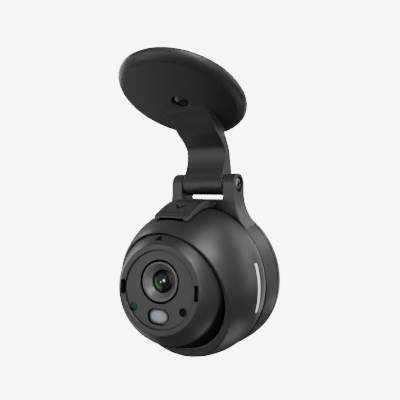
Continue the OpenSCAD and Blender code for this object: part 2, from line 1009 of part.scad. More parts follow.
module light_sensor() {
  color([0.15, 0.16, 0.20])
    at_eye()
      translate([-10.95, -7.7, sensor_board_d + 1])
        cube([2, 2, 0.9]);
}

module microphone() {
  color([0.60, 0.60, 0.62])
    at_eye()
      translate([9.45, -6.7, plate_d - 4.6])
        cylinder(r = 2.0, h = 2.9, $fn = 32);
}

module eye_rear_cover() {
  color([0.14, 0.14, 0.15])
    at_eye()
      difference() {
        translate([0, 0, eye_back_d])
          cylinder(r = cover_r, h = cover_t, $fn = 96);
        // way out for the ribbon cable
        translate([-5, -3, eye_back_d - 1])
          cube([10, 2.4, 4]);
        for (a = [90, 210, 330])
          rotate([0, 0, a])
            translate([cover_screw_r, 0, eye_back_d - 1])
              cylinder(r = 0.85, h = 4, $fn = 24);
      }
}

module cover_screws() {
  color([0.62, 0.62, 0.64])
    at_eye()
      for (a = [90, 210, 330])
        rotate([0, 0, a])
          translate([cover_screw_r, 0, eye_back_d])
            rotate([180, 0, 0])
              slot_screw(1.5, 0.8, 0.8, 5);
}

// ---------------------------------------------------------------- drawing

adhesive_pad();
top_plate();
disc_screw();
mount_bracket();
yoke_frame();
hinge_bolt();
hinge_nut();
friction_washers();
front_shell();
shell_screws();
seam_gasket();
rear_cap();
cap_screws();
retainer_ring();
retainer_screws();
main_board();
board_screws();
card_socket();
usb_socket();
backup_battery();
speaker();
heat_spreader();
flap_pin();
access_flap();
memory_card();
pivot_pads();
eyeball_shell();
face_plate();
lens_barrel();
front_glass();
inner_lenses();
lens_holder();
image_sensor();
sensor_board();
sensor_screws();
illuminator_window();
illuminator_led();
light_sensor_window();
light_sensor();
microphone();
eye_rear_cover();
cover_screws();
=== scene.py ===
import math

import bmesh
import bpy
from mathutils import Matrix, Vector


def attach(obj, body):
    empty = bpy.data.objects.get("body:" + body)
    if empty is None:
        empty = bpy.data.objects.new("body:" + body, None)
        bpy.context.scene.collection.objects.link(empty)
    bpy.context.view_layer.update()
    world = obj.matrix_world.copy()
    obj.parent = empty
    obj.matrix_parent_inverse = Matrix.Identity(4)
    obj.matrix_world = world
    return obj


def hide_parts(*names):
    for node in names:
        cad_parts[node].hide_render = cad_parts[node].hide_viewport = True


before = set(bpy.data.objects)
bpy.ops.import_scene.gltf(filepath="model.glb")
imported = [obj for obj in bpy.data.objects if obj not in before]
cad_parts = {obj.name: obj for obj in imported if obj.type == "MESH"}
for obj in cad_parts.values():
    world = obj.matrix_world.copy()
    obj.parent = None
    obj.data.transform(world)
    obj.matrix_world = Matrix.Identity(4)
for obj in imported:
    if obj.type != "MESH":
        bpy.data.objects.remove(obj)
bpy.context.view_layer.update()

# Shapes are drawn in millimetres round the ball, as the CAD draws them: X along the
# tilt hinge, -Y out of the front, +Z up, y = 0 at the seam. TO_FRAME then takes them
# to the shared frame, whose origin is the centre of the adhesive face, in metres.

# ---------------------------------------------------------------- driving sizes

MM = 0.001
# the ball: front shell, its round opening, band and rear cap
BALL_R, BALL_FRONT, BALL_MID_Y = 28.9, 28.0, -5.0
BALL_Z, SHELL_LIFT = 0.3, 0.4
SHELL_DEPTH, SEAM_GAP = 26.4, 0.2
FACE_CUT_Y, FACE_LEAN, LIP_R = -20.4, 12.5, 22.2
BAND_Y, BAND_FRONT, BACK_Y = 13.2, 0.25, 23.2
BAND_IN_R, FLANGE_IN_R, BAND_LINE_Y = 26.3, 23.8, 10.1
POST_RING, POST_R, POST_ANGLES = 20.2, 2.1, (30, 150, 270)
# ears, crossbar and tilt hinge
EAR_X, SLOT_X, EAR_R = 14.8, 9.7, 4.3
HINGE_Y, HINGE_Z, BAR_Z = 4.9, 37.8, 32.0
# disc, neck and knuckle
DISC_R, DISC_FLAT_R, DISC_T, DISC_TILT = 24.7, 21.7, 4.6, 27.6
DISC_Y, DISC_Z = -13.3, 68.35
PAD_T, PLATE_T, DISC_HOLE_R, DISC_HOLE_T = 0.7, 1.5, 3.25, 1.5
NECK_X, KNUCKLE_R, KNUCKLE_X, BOLT_R = 9.2, 4.4, 9.3, 1.5
# eyeball, face plate and lens
EYE_R, EYE_Y, EYE_PAN, EYE_TILT = 22.6, -14.2, 9.0, 5.5
RIM_R, PLATE_R, LENS_V = 15.5, 13.5, 2.7
RECESS_R, BARREL_R, GLASS_R = 7.6, 6.85, 4.1
MOUTH_R, MOUTH_DEPTH, NOSE_DEPTH = 6.1, 2.0, 4.8
DOME_R = 8.7
LAMP_V, SMALL_HOLE_V, SENSOR_U, MIC_U = -9.1, -6.7, -9.95, 9.45
GRIP_W, GRIP_H, GRIP_CORNER = 1.9, 5.3, 0.85
# cover, its hinge, the card and its socket
FLAP_X, PIN_Y, PIN_Z, PIN_R, FLAP_BARREL_R = 7.8, -1.75, 30.75, 0.6, 1.05
LUG_X0, LUG_X1, LUG_R, LUG_GAP = 4.6, 6.2, 0.8, 0.25
CARD_Z, SLOT_HALF_W, SLOT_HALF_H = 25.7, 6.2, 0.95
SOCKET_X, SOCKET_Z0, SOCKET_Z1 = 8.2, 24.6, 27.1

RIM_D = math.sqrt(EYE_R ** 2 - RIM_R ** 2)
PLATE_D = RIM_D - 0.7
EYE_BACK_D = -9.0
TILT = math.radians(DISC_TILT)
FACE_Y = DISC_Y + DISC_T * math.sin(TILT)
FACE_Z = DISC_Z + DISC_T * math.cos(TILT)

MOVE = Matrix.Translation
BALL = Matrix.Identity(4)


def turn(degrees, axis):
    return Matrix.Rotation(math.radians(degrees), 4, axis)


ABOUT_Y = turn(90, "X")
AXIS = MOVE((0, 0, BALL_Z)) @ ABOUT_Y
SHELL_AXIS = MOVE((0, 0, BALL_Z + SHELL_LIFT)) @ ABOUT_Y
DISC = MOVE((0, FACE_Y, FACE_Z)) @ turn(-DISC_TILT, "X")
EYE = MOVE((0, EYE_Y, BALL_Z)) @ turn(EYE_PAN, "Z") @ turn(-EYE_TILT, "X") @ ABOUT_Y
LENS = EYE @ MOVE((0, LENS_V, 0))
LAMP = EYE @ MOVE((0, LAMP_V, 0))
SENSOR_HOLE = EYE @ MOVE((SENSOR_U, SMALL_HOLE_V, 0))
MIC_HOLE = EYE @ MOVE((MIC_U, SMALL_HOLE_V, 0))
HINGE = MOVE((0, HINGE_Y, HINGE_Z)) @ turn(90, "Y")
PIN = MOVE((0, PIN_Y, PIN_Z)) @ turn(90, "Y")
FRONT = MOVE((0, FACE_CUT_Y, 0)) @ turn(FACE_LEAN, "X")
TO_FRAME = Matrix.Scale(MM, 4) @ MOVE((0, -FACE_Y, -FACE_Z))

# ---------------------------------------------------------------- mesh helpers


def raw(name, verts, faces):
    mesh = bpy.data.meshes.new(name)
    mesh.from_pydata([tuple(v) for v in verts], [], faces)
    bm = bmesh.new()
    bm.from_mesh(mesh)
    bmesh.ops.recalc_face_normals(bm, faces=bm.faces)
    bm.to_mesh(mesh)
    bm.free()
    obj = bpy.data.objects.new(name, mesh)
    bpy.context.scene.collection.objects.link(obj)
    return obj


def rounded(points, steps=5):
    """A 2-D outline where a point (a, b, r) gets a fillet of radius r."""
    out = []
    n = len(points)
    for i, p in enumerate(points):
        if len(p) == 2 or p[2] == 0:
            out.append(Vector(p[:2]))
            continue
        here = Vector(p[:2])
        back = (Vector(points[i - 1][:2]) - here).normalized()
        on = (Vector(points[(i + 1) % n][:2]) - here).normalized()
        half = back.angle(on) / 2
        run = p[2] / math.tan(half)
        centre = here + (back + on).normalized() * p[2] / math.sin(half)
        a, b = here + back * run - centre, here + on * run - centre
        sweep = a.angle_signed(b)
        for k in range(steps + 1):
            out.append(centre + Matrix.Rotation(-sweep * k / steps, 2) @ a)
    return out


def curve(points, steps=6):
    """Smooth curve through the points (Catmull-Rom)."""
    p = [Vector(q) for q in points]
    p = [2 * p[0] - p[1]] + p + [2 * p[-1] - p[-2]]
    out = []
    for i in range(1, len(p) - 2):
        for k in range(steps):
            t = k / steps
            a, b, c, d = p[i - 1:i + 3]
            out.append(0.5 * (2 * b + (c - a) * t + (2 * a - 5 * b + 4 * c - d) * t ** 2
                              + (3 * b - a - 3 * c + d) * t ** 3))
    return out + [p[-2]]


def lathe(name, profile, where=Matrix.Identity(4), n=144):
    """Turns a closed (radius, height) outline about local Z."""
    verts, rows = [], []
    for r, h in profile:
        if r < 1e-6:
            rows.append([len(verts)] * n)
            verts.append(where @ Vector((0, 0, h)))
        else:
            rows.append(list(range(len(verts), len(verts) + n)))
            for k in range(n):
                a = 2 * math.pi * k / n
                verts.append(where @ Vector((r * math.cos(a), r * math.sin(a), h)))
    faces = []
    for i, row in enumerate(rows):
        nxt = rows[(i + 1) % len(rows)]
        for k in range(n):
            m = (k + 1) % n
            ring = [row[k], row[m], nxt[m], nxt[k]]
            ring = [v for j, v in enumerate(ring) if v != ring[j - 1]]
            if len(set(ring)) > 2:
                faces.append(ring)
    return raw(name, verts, faces)


def prism(name, outline, z0, z1, where=Matrix.Identity(4)):
    """Extrudes a 2-D outline along local Z."""
    n = len(outline)
    verts = [where @ Vector((p[0], p[1], z)) for z in (z0, z1) for p in outline]
    faces = [list(range(n))[::-1], list(range(n, 2 * n))]
    faces += [[k, (k + 1) % n, n + (k + 1) % n, n + k] for k in range(n)]
    return raw(name, verts, faces)


def circle(r, n):
    return [Vector((r * math.cos(2 * math.pi * k / n), r * math.sin(2 * math.pi * k / n))) for k in range(n)]


def plaque(w, h, r):
    """Outline of a rounded rectangle."""
    return rounded([(-w / 2, -h / 2, r), (w / 2, -h / 2, r), (w / 2, h / 2, r), (-w / 2, h / 2, r)], 8)


def slab(name, w, h, r, z0, z1, where):
    """A rounded rectangle extruded along local Z."""
    return prism(name, plaque(w, h, r), z0, z1, where)


def stack(name, rings, where):
    """Rounded rectangles (width, height, corner, level) joined one above the other."""
    verts = []
    for w, h, r, z in rings:
        verts += [where @ Vector((p[0], p[1], z)) for p in plaque(w, h, r)]
    n = len(verts) // len(rings)
    last = len(verts) - n
    faces = [list(range(n))[::-1], list(range(last, last + n))]
    for k in range(last):
        turned = k - k % n + (k + 1) % n
        faces.append([k, turned, turned + n, k + n])
    return raw(name, verts, faces)


def rod(name, r, z0, z1, where, n=64):
    return prism(name, circle(r, n), z0, z1, where)


def ball(name, r, where, n=128):
    prof = [(r * math.sin(math.pi * k / 64), -r * math.cos(math.pi * k / 64)) for k in range(65)]
    prof[0], prof[-1] = (0, -r), (0, r)
    return lathe(name, prof, where, n)


def block(name, x0, x1, y0, y1, z0, z1, where=Matrix.Identity(4)):
    return prism(name, [(x0, y0), (x1, y0), (x1, y1), (x0, y1)], z0, z1, where)


def bake(obj):
    """Applies the modifiers to the mesh."""
    graph = bpy.context.evaluated_depsgraph_get()
    mesh = bpy.data.meshes.new_from_object(obj.evaluated_get(graph))
    obj.modifiers.clear()
    old = obj.data
    obj.data = mesh
    bpy.data.meshes.remove(old)
    return obj


def combine(obj, others, how):
    for other in others:
        mod = obj.modifiers.new("boolean", "BOOLEAN")
        mod.operation = how
        mod.solver = "EXACT"
        mod.object = other
        bake(obj)
        bpy.data.objects.remove(other)
    return obj


def cut(obj, *others):
    return combine(obj, others, "DIFFERENCE")


def keep(obj, *others):
    return combine(obj, others, "INTERSECT")


def merge(obj, *others):
    return combine(obj, others, "UNION")


def soften(obj, voxel, rounds):
    """Even mesh with every edge slightly rounded, as moulded plastic has."""
    mod = obj.modifiers.new("remesh", "REMESH")
    mod.mode = "VOXEL"
    mod.voxel_size = voxel
    mod.use_smooth_shade = True
    mod = obj.modifiers.new("smooth", "SMOOTH")
    mod.factor = 0.5
    mod.iterations = rounds
    return bake(obj)


def piece(obj, body, mat, nodes, sharp=None, bevel=None):
    """Moves a finished mesh to the shared frame and registers it."""
    for poly in obj.data.polygons:
        poly.use_smooth = True
    if bevel:
        mod = obj.modifiers.new("bevel", "BEVEL")
        mod.width = bevel
        mod.segments = 3
        mod.limit_method = "ANGLE"
        mod.angle_limit = math.radians(35)
        bake(obj)
    if sharp:
        obj.data.set_sharp_from_angle(angle=math.radians(sharp))
        mod = obj.modifiers.new("normals", "WEIGHTED_NORMAL")
        mod.keep_sharp = True
        mod.weight = 80
        bake(obj)
    obj.data.transform(TO_FRAME)
    obj.data.materials.clear()
    obj.data.materials.append(mat)
    obj.data.update()
    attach(obj, body)
    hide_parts(*nodes)


# ---------------------------------------------------------------- materials


# metres over which the edges of printed marks and of painted shadow lines fade
MARK_EDGE = 0.00004


class Nodes:
    """Small shorthand for building a node tree."""

    def __init__(self, name):
        self.mat = bpy.data.materials.new(name)
        self.mat.use_nodes = True
        self.tree = self.mat.node_tree
        self.bsdf = self.tree.nodes["Principled BSDF"]
        self.coord = self.add("ShaderNodeTexCoord").outputs["Object"]

    def add(self, kind, **inputs):
        node = self.tree.nodes.new(kind)
        for key, value in inputs.items():
            self.feed(node.inputs[key.replace("_", " ")], value)
        return node

    def feed(self, socket, value):
        if isinstance(value, bpy.types.NodeSocket):
            self.tree.links.new(value, socket)
        else:
            socket.default_value = value

    def set(self, **inputs):
        for key, value in inputs.items():
            self.feed(self.bsdf.inputs[key.replace("_", " ")], value)

    def math(self, how, a, b=0.0, clamp=False):
        node = self.tree.nodes.new("ShaderNodeMath")
        node.operation = how
        node.use_clamp = clamp
        self.feed(node.inputs[0], a)
        self.feed(node.inputs[1], b)
        return node.outputs[0]

    def noise(self, scale, detail=4.0, rough=0.55):
        node = self.add("ShaderNodeTexNoise", Vector=self.coord, Scale=scale, Detail=detail, Roughness=rough)
        return node.outputs["Fac"]

    def ramp(self, fac, *stops):
        node = self.add("ShaderNodeValToRGB", Fac=fac)
        marks = node.color_ramp.elements
        while len(marks) < len(stops):
            marks.new(0.5)
        for mark, (pos, col) in zip(marks, stops):
            mark.position = pos
            mark.color = (*col, 1.0) if len(col) == 3 else col
        return node.outputs["Color"]

    def mix(self, fac, a, b):
        node = self.tree.nodes.new("ShaderNodeMix")
        node.data_type = "RGBA"
        self.feed(node.inputs["Factor"], fac)
        for socket, value in ((node.inputs[6], a), (node.inputs[7], b)):
            self.feed(socket, (*value, 1.0) if isinstance(value, tuple) and len(value) == 3 else value)
        return node.outputs[2]

    def span(self, fac, lo, hi):
        node = self.add("ShaderNodeMapRange", Value=fac, To_Min=lo, To_Max=hi)
        return node.outputs["Result"]

    def bump(self, height, distance, strength=0.5, normal=None):
        node = self.add("ShaderNodeBump", Height=height, Distance=distance, Strength=strength)
        if normal is not None:
            self.feed(node.inputs["Normal"], normal)
        return node.outputs["Normal"]

    def along(self, origin, direction):
        """Distance in metres of the shaded point from origin along direction."""
        off = self.tree.nodes.new("ShaderNodeVectorMath")
        off.operation = "SUBTRACT"
        self.feed(off.inputs[0], self.coord)
        off.inputs[1].default_value = origin
        dot = self.tree.nodes.new("ShaderNodeVectorMath")
        dot.operation = "DOT_PRODUCT"
        self.feed(dot.inputs[0], off.outputs[0])
        dot.inputs[1].default_value = direction
        return dot.outputs["Value"]

    def inside(self, value, limit, soft=MARK_EDGE):
        """1 where |value| < limit, with a soft edge."""
        gap = self.math("SUBTRACT", limit, self.math("ABSOLUTE", value))
        return self.math("ADD", self.math("DIVIDE", gap, soft), 0.5, clamp=True)


def edge_highlight_mask(n, size=0.0006):
    """1 on outer edges: the rounded normal leaves the true one there. The mask places a painted edge
    highlight.
    """
    bevel = n.add("ShaderNodeBevel", Radius=size)
    geo = n.add("ShaderNodeNewGeometry")
    dot = n.tree.nodes.new("ShaderNodeVectorMath")
    dot.operation = "DOT_PRODUCT"
    n.feed(dot.inputs[0], bevel.outputs[0])
    n.feed(dot.inputs[1], geo.outputs["Normal"])
    return n.math("MULTIPLY", n.math("SUBTRACT", 1.0, dot.outputs["Value"]), 4.0, clamp=True)


def painted_crevice_shade(n, reach=0.0035):
    """Mask for painted shade: 0 deep in gaps, 1 on open surfaces."""
    ao = n.add("ShaderNodeAmbientOcclusion", Distance=reach)
    ao.samples = 6
    return n.ramp(ao.outputs["AO"], (0.25, (0, 0, 0)), (0.85, (1, 1, 1)))


def scaled(tone, factor):
    return tuple(min(1, c * factor) for c in tone)


def plastic(name, tone=(0.0118, 0.0117, 0.0114), rough=0.38, grain=1.0, mark=None, edge=True):
    """Charcoal moulded plastic with a fine spark-eroded grain, painted shade in gaps and, where edge is on,
    a painted highlight on outer edges.
    """
    n = Nodes(name)
    broad = n.noise(55.0, 3.0)
    cloud = n.noise(420.0, 4.0)
    fine = n.noise(5200.0, 3.0, 0.6)
    colour = n.mix(broad, scaled(tone, 0.9), scaled(tone, 1.14))
    colour = n.mix(n.math("MULTIPLY", cloud, 0.2), colour, scaled(tone, 1.45))
    # painted highlight: outer edges are lightened, broken up by noise
    if edge:
        patchy_cover = n.math("MULTIPLY", edge_highlight_mask(n), n.span(cloud, 0.0, 0.7))
        colour = n.mix(patchy_cover, colour, scaled(tone, 2.2))
    # painted shade: the colour goes nearly black deep in gaps
    colour = n.mix(painted_crevice_shade(n), scaled(tone, 0.12), colour)
    roughness = n.math("ADD", n.span(broad, rough - 0.05, rough + 0.05), n.span(fine, -0.03, 0.03))
    normal = n.bump(fine, 0.00002 * grain, 0.35)
    normal = n.bump(cloud, 0.00004 * grain, 0.18, normal)
    n.bsdf.inputs["Specular IOR Level"].default_value = 0.5
    if mark:
        # marks give plain marks and painted shade; the seam mark and the eyeball's dark skirt are painted
        # shade
        shape, mark_tone, mark_rough = mark(n)
        colour = n.mix(shape, colour, mark_tone)
        roughness = n.mix(shape, roughness, (mark_rough,) * 3)
        n.set(Specular_IOR_Level=n.math("SUBTRACT", 0.5, n.math("MULTIPLY", shape, 0.42)))
    n.set(Base_Color=colour, Roughness=roughness, Normal=normal)
    return n.mat


def metal(name, tone, rough):
    """Plain metal with uneven gloss."""
    n = Nodes(name)
    fine = n.noise(3800.0, 4.0)
    broad = n.noise(300.0, 3.0)
    n.set(Base_Color=n.mix(broad, scaled(tone, 0.75), tone),
          Roughness=n.span(fine, rough - 0.06, rough + 0.12), Normal=n.bump(fine, 0.00002, 0.3))
    n.bsdf.inputs["Metallic"].default_value = 1.0
    return n.mat


def plain(name, tone, rough, scale=900.0, depth=0.00003):
    """Any small inner part: a base tone with mottling, fine bump and uneven roughness."""
    n = Nodes(name)
    fine = n.noise(scale * 4, 3.0)
    broad = n.noise(scale, 4.0)
    n.set(Base_Color=n.mix(broad, scaled(tone, 0.7), scaled(tone, 1.2)),
          Roughness=n.span(fine, rough - 0.08, rough + 0.08), Normal=n.bump(fine, depth, 0.4))
    return n.mat


def board(name):
    """Green solder mask with copper tracks under it and pale pads."""
    n = Nodes(name)
    brick = n.add("ShaderNodeTexBrick", Vector=n.coord, Scale=620.0, Mortar_Size=0.06,
                  Brick_Width=1.3, Row_Height=0.35)
    tracks = n.math("MULTIPLY", brick.outputs["Fac"], n.span(n.noise(260.0, 1.0), -0.6, 1.4), clamp=True)
    colour = n.mix(tracks, (0.006, 0.06, 0.025), (0.02, 0.16, 0.06))
    cell = n.add("ShaderNodeTexVoronoi", Vector=n.coord, Scale=900.0)
    pads = n.math("LESS_THAN", cell.outputs["Distance"], 0.16)
    colour = n.mix(pads, colour, (0.45, 0.42, 0.36))
    n.set(Base_Color=colour, Roughness=n.mix(pads, (0.32,) * 3, (0.22,) * 3),
          Metallic=n.math("MULTIPLY", pads, 0.8), Normal=n.bump(tracks, 0.00003, 0.5))
    return n.mat


def glass(name, tone, rough=0.02):
    """Node tree of very dark coated glass: clear reflections over a nearly black body."""
    n = Nodes(name)
    n.set(Base_Color=(*tone, 1.0), Roughness=n.span(n.noise(1500.0), rough, rough + 0.02))
    n.bsdf.inputs["IOR"].default_value = 1.5
    n.bsdf.inputs["Specular IOR Level"].default_value = 0.12
    return n


def in_frame(matrix, v=(0, 0, 0)):
    """A point of a drawing matrix, in the shared frame."""
    return TO_FRAME @ matrix @ Vector(v)


def direction(matrix, v):
    """A direction of a drawing matrix, in the shared frame."""
    return (matrix.to_3x3() @ Vector(v)).normalized()


# ---------------------------------------------------------------- plain marks


def side_bar(n):
    """A thin plain white bar printed along the seam on the right of the shell."""
    length, width = 17.5, 1.5
    middle = in_frame(BALL, (0, -6.3, 0.9))
    across = n.along(middle, (0, 1, 0))
    up = n.along(middle, (0, 0, 1))
    side = n.math("GREATER_THAN", n.along(in_frame(BALL), (1, 0, 0)), 20 * MM)
    hit = n.math("MULTIPLY", n.inside(across, width / 2 * MM), n.inside(up, length / 2 * MM))
    patchy_cover = n.span(n.noise(4000.0, 2.0), 0.75, 1.0)
    return n.math("MULTIPLY", n.math("MULTIPLY", hit, side), patchy_cover), (0.82, 0.82, 0.80), 0.45


def triangle(n, centre, right, up, size):
    """Upright filled triangle in the plane of two directions."""
    u = n.math("ABSOLUTE", n.along(centre, right))
    v = n.along(centre, up)
    slope = n.math("SUBTRACT", size * 0.5, n.math("ADD", u, n.math("MULTIPLY", v, 0.6)))
    base = n.math("ADD", v, size * 0.45)
    a = n.math("ADD", n.math("DIVIDE", slope, MARK_EDGE), 0.5, clamp=True)
    b = n.math("ADD", n.math("DIVIDE", base, MARK_EDGE), 0.5, clamp=True)
    return n.math("MULTIPLY", a, b)


def eye_triangle_and_shade(n):
    """A small dark triangle on top, and a dark skirt of painted shade over the eyeball behind the part that
    shows.
    """
    shape = triangle(n, in_frame(EYE, (-1.6, 17.4, 14.3)), direction(EYE, (1, 0, 0)),
                     direction(EYE, (0, 0.63, -0.77)), 2.2 * MM)
    front = n.math("GREATER_THAN", n.along(in_frame(EYE), direction(EYE, (0, 1, 0))), 12 * MM)
    # painted shade: the eyeball goes nearly black behind a plane 10 mm out from its centre, in the gap under
    # the shell
    depth = n.along(in_frame(EYE, (0, 0, 10.0)), direction(EYE, (0, 0, 1)))
    skirt = n.math("SUBTRACT", 0.5, n.math("DIVIDE", depth, 1.6 * MM), clamp=True)
    return n.math("MAXIMUM", n.math("MULTIPLY", shape, front), skirt), (0.0012, 0.0012, 0.0012), 0.8


def flap_mark(n):
    """A plain chevron pointing at the flap's free edge."""
    centre = in_frame(BALL, (0, -14.9, 29.1))
    u = n.math("ABSOLUTE", n.along(centre, (1, 0, 0)))
    v = n.along(centre, (0, 0.88, 0.47))
    arm = n.math("SUBTRACT", v, n.math("MULTIPLY", u, 0.9))
    shape = n.math("MULTIPLY", n.inside(arm, 0.55 * MM), n.inside(u, 2.6 * MM))
    top = n.math("GREATER_THAN", n.along(in_frame(BALL, (0, 0, 27.0)), (0, 0, 1)), 0.0)
    return n.math("MULTIPLY", shape, top), (0.002, 0.002, 0.002), 0.9


def seam_mark(n):
    """Shadow in the joint line in front of the band and in the groove round its back."""
    centre = in_frame(BALL, (0, 0, BALL_Z))
    x = n.along(centre, (1, 0, 0))
    z = n.along(centre, (0, 0, 1))
    radius = n.math("SQRT", n.math("ADD", n.math("MULTIPLY", x, x), n.math("MULTIPLY", z, z)))
    front = n.inside(n.along(in_frame(BALL, (0, BAND_FRONT, 0)), (0, 1, 0)), 0.45 * MM)
    rear = n.inside(n.along(in_frame(BALL, (0, BAND_LINE_Y, 0)), (0, 1, 0)), 0.42 * MM)
    on_band = n.math("LESS_THAN", radius, (BALL_R + 0.05) * MM)
    return n.math("MULTIPLY", n.math("MAXIMUM", front, rear), on_band), (0.001, 0.001, 0.001), 0.8


M_BODY = plastic("charcoal_plastic", mark=seam_mark)
M_SHELL = plastic("shell_plastic", mark=side_bar)
M_FLAP = plastic("flap_plastic", tone=(0.0110, 0.0109, 0.0106), mark=flap_mark)
M_EYE = plastic("eye_plastic", tone=(0.0120, 0.0119, 0.0116), mark=eye_triangle_and_shade)
M_PLATE = plastic("plate_plastic", tone=(0.0135, 0.0134, 0.0130), rough=0.42)
M_BRACKET = plastic("bracket_plastic", tone=(0.0110, 0.0109, 0.0107), rough=0.42, grain=1.3, edge=False)
M_BARREL = plastic("barrel_plastic", tone=(0.042, 0.0415, 0.040), rough=0.38, grain=0.6)
M_BLACK = plain("black_inner_plastic", (0.004, 0.004, 0.004), 0.6)
M_PAD = plain("adhesive_foam", (0.012, 0.012, 0.013), 0.75, scale=1500.0, depth=0.0001)
M_SCREW = metal("blackened_screw", (0.16, 0.16, 0.165), 0.3)
M_STEEL = metal("zinc_steel", (0.55, 0.55, 0.56), 0.28)
M_PLATE_STEEL = metal("pressed_plate", (0.42, 0.42, 0.43), 0.4)
M_ACETAL = plain("acetal", (0.012, 0.012, 0.012), 0.4)
M_RUBBER = plain("seal_rubber", (0.01, 0.01, 0.01), 0.8)
M_BOARD = board("solder_mask")
M_WRAP = plain("battery_wrap", (0.04, 0.09, 0.28), 0.35, scale=500.0)
M_SPREAD = metal("spreader_aluminium", (0.75, 0.76, 0.78), 0.38)
M_CARD = plain("card_body", (0.01, 0.01, 0.012), 0.42)
M_CHIP = plain("sensor_glass", (0.02, 0.022, 0.035), 0.15)
M_LED = plain("led_phosphor", (0.75, 0.6, 0.12), 0.4)
M_MIC = plain("microphone_mesh", (0.003, 0.003, 0.003), 0.8)


def diffuser():
    """Milky window with painted light and shade: lighter in the middle, darker towards its rim."""
    n = Nodes("milky_diffuser")
    u = n.along(in_frame(LAMP), direction(EYE, (1, 0, 0)))
    v = n.along(in_frame(LAMP), direction(EYE, (0, 1, 0)))
    r2 = n.math("ADD", n.math("POWER", n.math("DIVIDE", u, 3.5 * MM), 2.0),
                n.math("POWER", n.math("DIVIDE", v, 2.3 * MM), 2.0))
    cloud = n.math("MULTIPLY", n.noise(500.0), 0.3)
    # painted light and shade: pale in the middle, nearly black at the window's rim
    tone = n.ramp(n.math("ADD", r2, cloud), (0.1, (0.15, 0.175, 0.20)), (0.75, (0.10, 0.12, 0.14)),
                  (1.0, (0.03, 0.034, 0.04)))
    n.set(Base_Color=tone, Roughness=n.span(n.noise(3000.0), 0.22, 0.34),
          Normal=n.bump(n.noise(2500.0), 0.00003, 0.25))
    n.bsdf.inputs["Subsurface Weight"].default_value = 0.15
    n.bsdf.inputs["Subsurface Scale"].default_value = 0.001
    return n.mat


def lens_painted_reflections():
    """Front glass with painted reflections: green low on the left, violet and amber high on the right, dark
    middle, painted glints and a faint painted glow.
    """
    n = glass("coated_front_glass", (0.004, 0.005, 0.007))
    u = n.along(in_frame(LENS), direction(LENS, (1, 0, 0)))
    v = n.along(in_frame(LENS), direction(LENS, (0, 1, 0)))
    r = n.math("SQRT", n.math("ADD", n.math("POWER", u, 2.0), n.math("POWER", v, 2.0)))
    whole = GLASS_R * MM
    rr = n.math("DIVIDE", r, whole)
    slant = n.math("MULTIPLY", n.math("ADD", n.math("MULTIPLY", u, -0.88), n.math("MULTIPLY", v, -0.47)),
                   1 / whole)
    ring = n.inside(n.math("SUBTRACT", rr, 0.72), 0.13, 0.14)
    green = n.math("MULTIPLY", n.span(slant, -1.2, 1.9), ring, clamp=True)
    high = n.math("MULTIPLY", slant, -1.0)
    edge = n.inside(n.math("SUBTRACT", rr, 0.76), 0.07, 0.16)
    violet = n.math("MULTIPLY", n.span(high, -1.6, 1.7), edge, clamp=True)
    wave = n.math("SINE", n.math("MULTIPLY", rr, 34.0))
    fine = n.math("MULTIPLY", n.math("GREATER_THAN", wave, 0.6), n.math("LESS_THAN", rr, 0.62))
    colour = n.mix(n.math("MULTIPLY", fine, 0.5), (0.002, 0.0025, 0.004), (0.022, 0.024, 0.03))
    colour = n.mix(green, colour, (0.02, 0.12, 0.02))
    colour = n.mix(violet, colour, (0.075, 0.030, 0.040))
    # painted glints: a warm white spot and a green spot
    glints = [((0.12, 0.06), 0.13, (1.0, 0.93, 0.72)), ((-0.17, -0.10), 0.09, (0.25, 0.9, 0.15))]
    for at, size, tint in glints:
        du = n.math("SUBTRACT", u, at[0] * whole)
        dv = n.math("SUBTRACT", v, at[1] * whole)
        away = n.math("SQRT", n.math("ADD", n.math("POWER", du, 2.0), n.math("POWER", dv, 2.0)))
        spot = n.math("SUBTRACT", 1.0, n.math("DIVIDE", away, size * whole), clamp=True)
        colour = n.mix(spot, colour, tint)
    # painted glow: the glass emits its own painted colour, though it is no lamp
    n.set(Base_Color=colour, Emission_Color=colour)
    n.bsdf.inputs["Emission Strength"].default_value = 0.3
    return n.mat


def sensor_window():
    """Dark green glass over the light sensor."""
    n = glass("dark_green_window", (0.004, 0.035, 0.028), 0.05)
    n.set(Base_Color=n.mix(n.noise(900.0), (0.001, 0.012, 0.010), (0.003, 0.030, 0.022)))
    return n.mat


M_DIFFUSER = diffuser()
M_GLASS = lens_painted_reflections()
M_GREEN = sensor_window()
M_INNER_GLASS = glass("inner_glass", (0.01, 0.02, 0.02), 0.03).mat

# ---------------------------------------------------------------- screws


def pan_head(name, r, t, where, shaft_r, shaft_l):
    """Domed cross-recess head with its threaded shaft."""
    dome = [(r * math.cos(a), t * 0.35 + t * 0.65 * math.sin(a)) for a in
            [math.radians(10 * k) for k in range(0, 9)]]
    prof = [(0, 0), (r * 0.95, 0), (r, 0.1)] + dome + [(0, t)]
    head = lathe(name, prof, where, 72)
    for a in (0, 90):
        arm = slab("arm", r * 1.15, r * 0.24, r * 0.05, t * 0.35, t * 2, where @ turn(a + 20, "Z"))
        cut(head, arm)
    pitch, core, sunk = 0.5, shaft_r * 0.86, 0.02
    turns = int(shaft_l / pitch)
    prof = [(0, -shaft_l), (shaft_r * 0.7, -shaft_l)]
    for k in range(turns):
        z = -shaft_l + 0.15 + k * pitch
        prof += [(core, z), (shaft_r, z + pitch * 0.45), (core, z + pitch * 0.9)]
    prof = [p for p in prof if p[1] < -sunk] + [(core, sunk), (0, sunk)]
    shaft = lathe("shaft", prof, where, 32)
    return merge(head, shaft)


def joined(name, objs):
    """Joins meshes that don't touch into one piece."""
    bm = bmesh.new()
    for o in objs:
        bm.from_mesh(o.data)
    mesh = bpy.data.meshes.new(name)
    bm.to_mesh(mesh)
    bm.free()
    for o in objs:
        bpy.data.objects.remove(o)
    obj = bpy.data.objects.new(name, mesh)
    bpy.context.scene.collection.objects.link(obj)
    return obj


# ---------------------------------------------------------------- bracket


